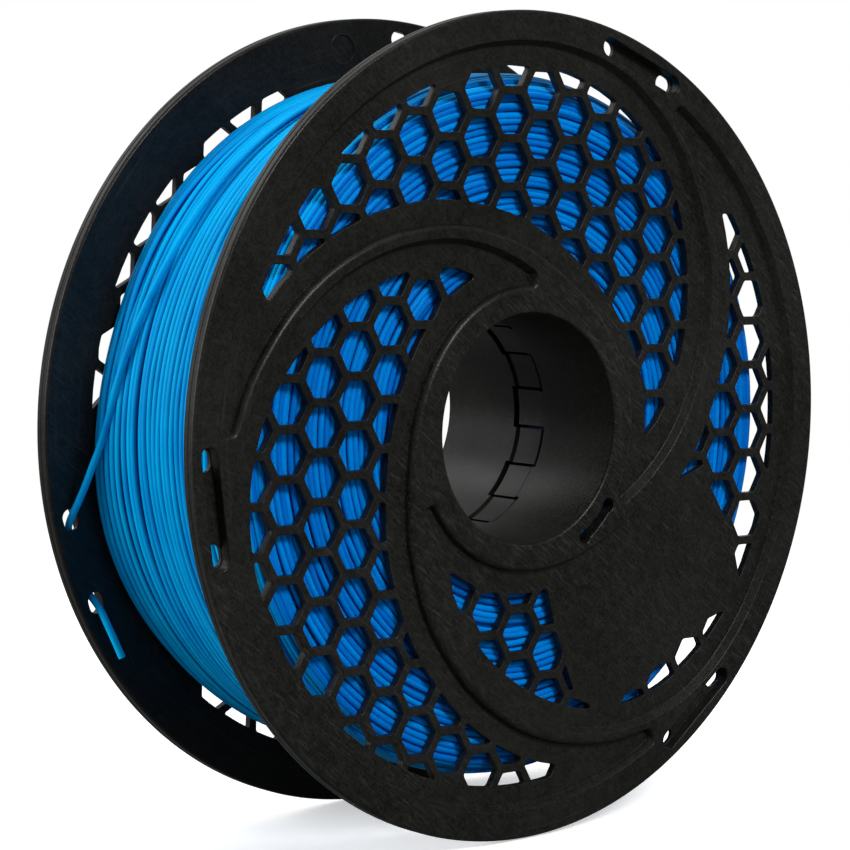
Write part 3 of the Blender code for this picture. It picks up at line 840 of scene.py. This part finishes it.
def core_mesh():
    """What lies under the visible strands, coloured all through as painted deep shade."""
    w0, w1 = FLANGE_T + 2.6, SPOOL_WIDTH - FLANGE_T - 2.6
    prof = [(DRUM_R + 0.35, w0), (77.0, w0), (80.5, w0 + 3.5), (WIND_R - 3.4, w0 + 6),
            (WIND_R - 3.4, w1), (DRUM_R + 0.35, w1)]
    n = 180
    co, faces = [], []
    for i in range(n):
        for rr, w in prof:
            co.append(tuple(at(polar(rr, 360.0 * i / n), w)))
    m = len(prof)
    for i in range(n):
        j = (i + 1) % n
        for k in range(m):
            q = (k + 1) % m
            faces.append((i * m + k, i * m + q, j * m + q, j * m + k))
    me = bpy.data.meshes.new("winding_core")
    me.from_pydata(co, [], faces)
    bm = bmesh.new()
    bm.from_mesh(me)
    bmesh.ops.recalc_face_normals(bm, faces=bm.faces)
    bm.to_mesh(me)
    bm.free()
    # the whole core is marked for the full painted groove shade
    data = me.attributes.new("painted_groove_shade", 'FLOAT', 'POINT')
    data.data.foreach_set("value", np.full(len(me.vertices), -1.0, np.float32))
    return me


LEAD_ANGLES = (158.0, 163.0, 168.0, 173.0, 177.0)
LEAD_DEPTHS = (44.6, 46.6, 48.6, 50.8, 52.6)
LEAD_R = WIND_R + 0.3 + FILAMENT_D / 2 + 0.05
ROUTE = ((-14.6, -10.6, 54.6), (-11.0, -7.9, 55.5), (-7.5, -5.3, 56.3),
         (-4.4, -2.8, 57.1), (-2.1, -1.0, 57.95), (0.0, 0.0, 59.35),
         (2.6, 0.0, 61.45), (5.2, 0.0, 61.85), (10.7, 0.0, 61.9),
         (16.3, 0.0, 61.85), (18.9, 0.0, 61.45), (21.5, 0.0, 59.35),
         (23.8, 0.1, 57.75), (26.6, 0.4, 56.4), (30.0, 0.6, 55.1),
         (35.0, 0.6, 53.9))


def loose_end_points():
    """The CAD route of the loose end."""
    angles = [180 + HALF_TURN - a + 120 for a in reversed(PARK_ANGLES)]
    h1, h2 = (polar(PARK_R, a) for a in angles)
    n = math.dist(h1, h2)
    s = ((h2[0] - h1[0]) / n, (h2[1] - h1[1]) / n)
    o = (s[1], -s[0])
    if o[0] * h1[0] + o[1] * h1[1] < 0:
        o = (-o[0], -o[1])
    pts = [at(polar(LEAD_R, a), w) for a, w in zip(LEAD_ANGLES, LEAD_DEPTHS)]
    for along, out, w in ROUTE:
        pts.append(at((h1[0] + along * s[0] + out * o[0],
                       h1[1] + along * s[1] + out * o[1]), w))
    ends = [pts[0] * 2 - pts[1]] + pts + [pts[-1] * 2 - pts[-2]]
    fine = []
    for i in range(1, len(ends) - 2):
        p0, p1, p2, p3 = ends[i - 1:i + 3]
        t1 = (p1 - p0).length ** 0.5
        t2 = t1 + (p2 - p1).length ** 0.5
        t3 = t2 + (p3 - p2).length ** 0.5
        for k in range(16):
            t = t1 + (t2 - t1) * k / 16
            a1 = p0 * ((t1 - t) / t1) + p1 * (t / t1)
            a2 = p1 * ((t2 - t) / (t2 - t1)) + p2 * ((t - t1) / (t2 - t1))
            a3 = p2 * ((t3 - t) / (t3 - t2)) + p3 * ((t - t2) / (t3 - t2))
            b1 = a1 * ((t2 - t) / t2) + a2 * (t / t2)
            b2 = a2 * ((t3 - t) / (t3 - t1)) + a3 * ((t - t1) / (t3 - t1))
            fine.append(b1 * ((t2 - t) / (t2 - t1)) + b2 * ((t - t1) / (t2 - t1)))
    fine.append(pts[-1])
    step, out, run = 1.1 * MM, [fine[0]], 0.0
    for a, b in zip(fine, fine[1:]):
        run += (b - a).length
        if run >= step:
            out.append(b)
            run = 0.0
    out[-1] = fine[-1]
    return out


# ----------------------------------------------------------------- materials
def nodes_of(name):
    mat = bpy.data.materials.new(name)
    mat.use_nodes = True
    nt = mat.node_tree
    return mat, nt, nt.nodes["Principled BSDF"]


def noise(nt, scale, detail=3.0, rough=0.6, coord=None, vec=None):
    t = nt.nodes.new("ShaderNodeTexNoise")
    t.inputs["Scale"].default_value = scale
    t.inputs["Detail"].default_value = detail
    t.inputs["Roughness"].default_value = rough
    nt.links.new(vec if vec is not None else coord.outputs["Object"], t.inputs["Vector"])
    return t


def ramp(nt, src, lo, hi, a, b):
    m = nt.nodes.new("ShaderNodeMapRange")
    m.inputs["From Min"].default_value = lo
    m.inputs["From Max"].default_value = hi
    m.inputs["To Min"].default_value = a
    m.inputs["To Max"].default_value = b
    nt.links.new(src, m.inputs["Value"])
    return m.outputs["Result"]


def math_node(nt, op, a, b):
    m = nt.nodes.new("ShaderNodeMath")
    m.operation = op
    for k, v in enumerate((a, b)):
        if isinstance(v, (int, float)):
            m.inputs[k].default_value = v
        else:
            nt.links.new(v, m.inputs[k])
    return m.outputs["Value"]


def mix_colour(nt, fac, a, b):
    m = nt.nodes.new("ShaderNodeMix")
    m.data_type = 'RGBA'
    nt.links.new(fac, m.inputs[0])
    for k, v in ((6, a), (7, b)):
        if isinstance(v, tuple):
            m.inputs[k].default_value = (*v, 1.0)
        else:
            nt.links.new(v, m.inputs[k])
    return m.outputs[2]


def stretched(nt, coord, turn, along, across, detail, rough):
    """Noise drawn out along a line in the flange's plane."""
    m = nt.nodes.new("ShaderNodeMapping")
    m.inputs["Rotation"].default_value = (0.0, math.radians(turn), 0.0)
    nt.links.new(coord.outputs["Object"], m.inputs["Vector"])
    k = nt.nodes.new("ShaderNodeVectorMath")
    k.operation = 'MULTIPLY'
    k.inputs[1].default_value = (along, across, across)
    nt.links.new(m.outputs[0], k.inputs[0])
    return noise(nt, 1.0, detail, rough, vec=k.outputs[0])


def black_plastic(name, tone=1.0, wear=1.0):
    """Satin black moulding: fine grain, cloudy gloss, handling scratches; tone below 1 darkens the
    whole colour as painted shade.
    """
    mat, nt, bsdf = nodes_of(name)
    coord = nt.nodes.new("ShaderNodeTexCoord")
    grain = noise(nt, 2400.0, 2.0, 0.6, coord)
    mott = noise(nt, 420.0, 5.0, 0.75, coord)
    cloud = noise(nt, 22.0, 4.0, 0.6, coord)
    patch = noise(nt, 9.0, 2.0, 0.5, coord)
    # marks that run round the axis
    sep = nt.nodes.new("ShaderNodeSeparateXYZ")
    nt.links.new(coord.outputs["Object"], sep.inputs[0])
    rad = math_node(nt, 'SQRT', math_node(nt, 'ADD',
                    math_node(nt, 'MULTIPLY', sep.outputs[0], sep.outputs[0]),
                    math_node(nt, 'MULTIPLY', sep.outputs[2], sep.outputs[2])), 0.0)
    comb = nt.nodes.new("ShaderNodeCombineXYZ")
    nt.links.new(math_node(nt, 'MULTIPLY', rad, 900.0), comb.inputs[0])
    nt.links.new(math_node(nt, 'MULTIPLY', sep.outputs[0], 24.0), comb.inputs[1])
    nt.links.new(math_node(nt, 'MULTIPLY', sep.outputs[2], 24.0), comb.inputs[2])
    arcs = noise(nt, 1.0, 3.0, 0.7, vec=comb.outputs[0])
    rub = math_node(nt, 'MULTIPLY', ramp(nt, arcs.outputs["Fac"], 0.55, 0.78, 0.0, 1.0),
                    ramp(nt, cloud.outputs["Fac"], 0.45, 0.66, 0.0, 1.0))
    # hairline scratches in two directions
    hair_a = stretched(nt, coord, -38.0, 170.0, 1900.0, 3.0, 0.6)
    hair_b = stretched(nt, coord, -62.0, 240.0, 1700.0, 3.0, 0.6)
    hairs = math_node(nt, 'MAXIMUM',
                      ramp(nt, hair_a.outputs["Fac"], 0.54, 0.72, 0.0, 1.0),
                      math_node(nt, 'MULTIPLY', 0.7,
                                ramp(nt, hair_b.outputs["Fac"], 0.57, 0.74, 0.0, 1.0)))
    hairs = math_node(nt, 'MULTIPLY', hairs,
                      ramp(nt, patch.outputs["Fac"], 0.40, 0.62, 0.15 * wear, wear))
    speck = ramp(nt, mott.outputs["Fac"], 0.32, 0.68, 0.0, 1.0)
    haze = ramp(nt, cloud.outputs["Fac"], 0.35, 0.72, 0.0, 1.0)
    fleck = ramp(nt, noise(nt, 1500.0, 1.0, 0.5, coord).outputs["Fac"], 0.36, 0.64, -0.22, 0.22)
    base = mix_colour(nt, math_node(nt, 'ADD', math_node(nt, 'ADD', fleck,
                                                         math_node(nt, 'MULTIPLY', speck, 0.62)),
                                    math_node(nt, 'MULTIPLY', haze, 0.38)),
                      tuple(tone * c for c in BLACK_DARK),
                      tuple(tone * c for c in BLACK_LIGHT))
    base = mix_colour(nt, math_node(nt, 'MULTIPLY', rub, 0.6), base, BLACK_RUB)
    base = mix_colour(nt, math_node(nt, 'MULTIPLY', hairs, 0.8), base, BLACK_RUB)
    nt.links.new(base, bsdf.inputs["Base Color"])
    rough = math_node(nt, 'ADD', ramp(nt, cloud.outputs["Fac"], 0.3, 0.7, 0.28, 0.43),
                      math_node(nt, 'MULTIPLY', math_node(nt, 'MAXIMUM', rub, hairs), 0.12))
    nt.links.new(rough, bsdf.inputs["Roughness"])
    bsdf.inputs["Specular IOR Level"].default_value = BLACK_SPEC
    bump = nt.nodes.new("ShaderNodeBump")
    bump.inputs["Strength"].default_value = 0.35
    bump.inputs["Distance"].default_value = 0.00012
    height = math_node(nt, 'ADD', math_node(nt, 'MULTIPLY', grain.outputs["Fac"], 0.7),
                       math_node(nt, 'MULTIPLY', mott.outputs["Fac"], 1.4))
    height = math_node(nt, 'SUBTRACT', height, math_node(nt, 'MULTIPLY', hairs, 0.5))
    nt.links.new(height, bump.inputs["Height"])
    nt.links.new(bump.outputs[0], bsdf.inputs["Normal"])
    return mat


def blue_filament(name, strands=True, deep=False):
    """Extruded blue plastic: paler on the crowns, with a deep blue painted shade in the grooves
    between turns and a deeper blue painted-shade copy for turns seen edge-on at the flanges, a slight
    change of tone from turn to turn and faint die lines."""
    mat, nt, bsdf = nodes_of(name)
    coord = nt.nodes.new("ShaderNodeTexCoord")
    soft = noise(nt, 60.0, 2.0, 0.5, coord)
    fine = noise(nt, 1500.0, 2.0, 0.5, coord)
    tone = ramp(nt, soft.outputs["Fac"], 0.3, 0.7, 0.0, 1.0)
    if strands:
        att = nt.nodes.new("ShaderNodeAttribute")
        att.attribute_name = "strand"
        tone = math_node(nt, 'ADD', math_node(nt, 'MULTIPLY', tone, 0.4),
                         math_node(nt, 'MULTIPLY', att.outputs["Fac"], 0.6))
    crown = mix_colour(nt, tone, BLUE_DARK, BLUE_LIGHT)
    if strands:
        # turns seen edge-on at the flanges carry a negative value: they take the deeper blue of a
        # painted-shade copy
        end = ramp(nt, att.outputs["Fac"], -0.02, 0.0, 1.0, 0.0)
        shaded_edge_on = mix_colour(nt, math_node(nt, 'ADD', att.outputs["Fac"], 1.0),
                          BLUE_SHADED_END_DARK, BLUE_SHADED_END_LIGHT)
        crown = mix_colour(nt, end, crown, shaded_edge_on)
        # painted shade: where the turns face their neighbours or the drum, the colour darkens to a
        # deep blue that stands in for the shade in the grooves
        groove_shade_attribute = nt.nodes.new("ShaderNodeAttribute")
        groove_shade_attribute.attribute_name = "painted_groove_shade"
        up = nt.nodes.new("ShaderNodeMapRange")
        up.interpolation_type = 'SMOOTHSTEP'
        up.inputs["From Min"].default_value = -0.20
        up.inputs["From Max"].default_value = 0.72
        nt.links.new(groove_shade_attribute.outputs["Fac"], up.inputs["Value"])
        # deep: a still darker painted shade for the inner layers seen between turns and through gaps
        painted_groove_shade_colour = tuple(0.25 * c for c in BLUE_PAINTED_GROOVE_SHADE) if deep else BLUE_PAINTED_GROOVE_SHADE
        crown = mix_colour(nt, up.outputs["Result"], painted_groove_shade_colour, crown)
    nt.links.new(crown, bsdf.inputs["Base Color"])
    bsdf.inputs["Specular Tint"].default_value = (0.25, 0.65, 1.0, 1.0)
    nt.links.new(ramp(nt, fine.outputs["Fac"], 0.3, 0.7, 0.36, 0.46), bsdf.inputs["Roughness"])
    bsdf.inputs["Specular IOR Level"].default_value = 0.07
    bump = nt.nodes.new("ShaderNodeBump")
    bump.inputs["Strength"].default_value = 0.10
    bump.inputs["Distance"].default_value = 0.00005
    nt.links.new(fine.outputs["Fac"], bump.inputs["Height"])
    nt.links.new(bump.outputs[0], bsdf.inputs["Normal"])
    return mat


WORLD_FRONT = 0.28
WORLD_BACK = 0.68
BLACK_DARK = (0.0022, 0.0022, 0.0018)
BLACK_LIGHT = (0.0160, 0.0158, 0.0132)
BLACK_RUB = (0.042, 0.042, 0.037)
BLACK_SPEC = 0.20
BLUE_DARK = (0.0, 0.24, 0.66)
BLUE_LIGHT = (0.0, 0.45, 0.84)
# painted shade colour of the grooves between turns
BLUE_PAINTED_GROOVE_SHADE = (0.0, 0.022, 0.17)
# deeper blue painted-shade copy for turns seen edge-on at the flanges
BLUE_SHADED_END_DARK = (0.0, 0.14, 0.60)
BLUE_SHADED_END_LIGHT = (0.0, 0.26, 0.82)


def add(name, mesh, mat, body, slot, *nodes):
    ob = bpy.data.objects.new(name, mesh)
    bpy.context.scene.collection.objects.link(ob)
    mesh.materials.clear()
    mesh.materials.append(mat)
    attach(ob, body)
    if nodes:
        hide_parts(*nodes)
    return ob


# -------------------------------------------------------------------- camera
scene = bpy.context.scene
cam = bpy.data.cameras.new("camera")
cam.sensor_width = 36.0
cam.lens = 120.68
cam.clip_start = 0.01
cam.clip_end = 20.0
cam_ob = bpy.data.objects.new("camera", cam)
scene.collection.objects.link(cam_ob)
scene.camera = cam_ob
az, el, dist = math.radians(-40.3087), math.radians(5.4072), 0.66365
target = Vector((-0.033668, -0.0315, 0.003053))
back = Vector((math.sin(az) * math.cos(el), -math.cos(az) * math.cos(el), math.sin(el)))
cam_ob.location = target + back * dist
cam_ob.rotation_euler = (-back).to_track_quat('-Z', 'Y').to_euler()

# ------------------------------------------------------------------ the cord
loose = blue_filament("loose_filament_look", strands=False)
points = loose_end_points()
cu = bpy.data.curves.new("loose_end_of_filament", 'CURVE')
cu.dimensions = '3D'
sp = cu.splines.new('POLY')
sp.points.add(len(points) - 1)
for p, q in zip(sp.points, points):
    p.co = (*q, 1.0)
cu.bevel_depth = FILAMENT_D / 2 * MM
cu.bevel_resolution = 6
cu.use_fill_caps = True
cu.materials.append(loose)
cord = bpy.data.objects.new("loose_end_of_filament", cu)
scene.collection.objects.link(cord)
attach(cord, "rear_body")
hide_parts("filament_loose_end")

# ---------------------------------------------------------------- the halves
fine = half_mesh()
front_mat = black_plastic("front_half_plastic_look")
# the rear half's colour is scaled down to 0.55 as painted shade, with fewer scratches
rear_mat = black_plastic("rear_half_plastic_look", 0.55, 0.3)
front = add("front_half_moulding", fine, front_mat, "front_body",
            "front_half_plastic", "front_flange_half")
rear_mesh = fine.copy()
turn = (Matrix.Rotation(math.radians(-HALF_TURN), 4, 'Y')
        @ Matrix.Rotation(math.pi, 4, 'Z'))
rear_mesh.transform(turn)
rear = add("rear_half_moulding", rear_mesh, rear_mat, "rear_body",
           "rear_half_plastic", "rear_flange_half")

# --------------------------------------------------------------- the winding
blue = blue_filament("wound_filament_look")
strands = add("filament_turns", winding_mesh(), blue, "rear_body",
              "wound_filament", "filament_winding")
core = add("filament_inner_layers", core_mesh(), blue_filament("inner_filament_painted_shade_look", deep=True),
           "rear_body", "wound_filament")

# ----------------------------------------------------------- floor and light
floor_me = bpy.data.meshes.new("floor")
z = -0.1003
floor_me.from_pydata([(-6, -6, z), (6, -6, z), (6, 6, z), (-6, 6, z)], [], [(0, 1, 2, 3)])
floor = bpy.data.objects.new("floor", floor_me)
scene.collection.objects.link(floor)
fmat, fnt, fb = nodes_of("pale_floor")
fb.inputs["Roughness"].default_value = 0.8
fb.inputs["Emission Color"].default_value = (1.0, 1.0, 1.0, 1.0)
fb.inputs["Specular IOR Level"].default_value = 0.1
fco = fnt.nodes.new("ShaderNodeTexCoord")
fln = fnt.nodes.new("ShaderNodeVectorMath")
fln.operation = 'LENGTH'
fnt.links.new(fco.outputs["Object"], fln.inputs[0])
far = fnt.nodes.new("ShaderNodeMapRange")
far.interpolation_type = 'SMOOTHSTEP'
far.inputs["From Min"].default_value = 0.25
far.inputs["From Max"].default_value = 0.70
fnt.links.new(fln.outputs["Value"], far.inputs["Value"])
glow = fnt.nodes.new("ShaderNodeEmission")
glow.inputs["Color"].default_value = (1.0, 1.0, 1.0, 1.0)
seen = fnt.nodes.new("ShaderNodeLightPath")
fnt.links.new(ramp(fnt, seen.outputs["Is Camera Ray"], 0.0, 1.0, 0.20, 1.0), glow.inputs["Strength"])
fnt.links.new(mix_colour(fnt, seen.outputs["Is Camera Ray"], (0.22, 0.22, 0.22), (0.93, 0.93, 0.93)),
              fb.inputs["Base Color"])
fmix = fnt.nodes.new("ShaderNodeMixShader")
fnt.links.new(far.outputs["Result"], fmix.inputs[0])
fnt.links.new(fb.outputs[0], fmix.inputs[1])
fnt.links.new(glow.outputs[0], fmix.inputs[2])
fnt.links.new(fmix.outputs[0], fnt.nodes["Material Output"].inputs["Surface"])
fnt.links.new(ramp(fnt, seen.outputs["Is Camera Ray"], 0.0, 1.0, 0.0, 0.48),
              fb.inputs["Emission Strength"])
floor_me.materials.append(fmat)

world = bpy.data.worlds.new("world")
scene.world = world
world.use_nodes = True
wnt = world.node_tree
bg = wnt.nodes["Background"]
bg.inputs["Color"].default_value = (1.0, 1.0, 1.0, 1.0)
wco = wnt.nodes.new("ShaderNodeTexCoord")
dot = wnt.nodes.new("ShaderNodeVectorMath")
dot.operation = 'DOT_PRODUCT'
dot.inputs[1].default_value = (-0.15, 0.97, 0.12)
wnt.links.new(wco.outputs["Generated"], dot.inputs[0])
wall = wnt.nodes.new("ShaderNodeMapRange")
wall.interpolation_type = 'SMOOTHSTEP'
wall.inputs["From Min"].default_value = -0.55
wall.inputs["From Max"].default_value = 0.65
wall.inputs["To Min"].default_value = WORLD_FRONT
wall.inputs["To Max"].default_value = WORLD_BACK
wnt.links.new(dot.outputs["Value"], wall.inputs["Value"])
path = wnt.nodes.new("ShaderNodeLightPath")
pick = wnt.nodes.new("ShaderNodeMix")
pick.data_type = 'FLOAT'
wnt.links.new(path.outputs["Is Camera Ray"], pick.inputs[0])
wnt.links.new(wall.outputs["Result"], pick.inputs[2])
pick.inputs[3].default_value = 1.0
wnt.links.new(pick.outputs[0], bg.inputs["Strength"])


def area_light(name, location, aim, size, watts, size_y=None):
    li = bpy.data.lights.new(name, 'AREA')
    li.shape = 'RECTANGLE'
    li.size = size
    li.size_y = size_y or size
    li.energy = watts
    ob = bpy.data.objects.new(name, li)
    scene.collection.objects.link(ob)
    ob.location = location
    d = Vector(aim) - Vector(location)
    ob.rotation_euler = d.to_track_quat('-Z', 'Y').to_euler()
    return ob


area_light("left", (-1.3, 0.55, 0.45), (0, 0, 0), 0.7, 15.0, 0.9)
area_light("rear_top", (-0.4, 1.1, 0.95), (0, 0, 0), 0.6, 2.6)
area_light("front_top", (-0.05, -1.25, 0.95), (0, 0, 0), 0.42, 16.5)
area_light("overhead", (0.1, 0.1, 1.5), (0, 0, 0), 1.3, 2.2)

scene.view_settings.view_transform = 'Standard'
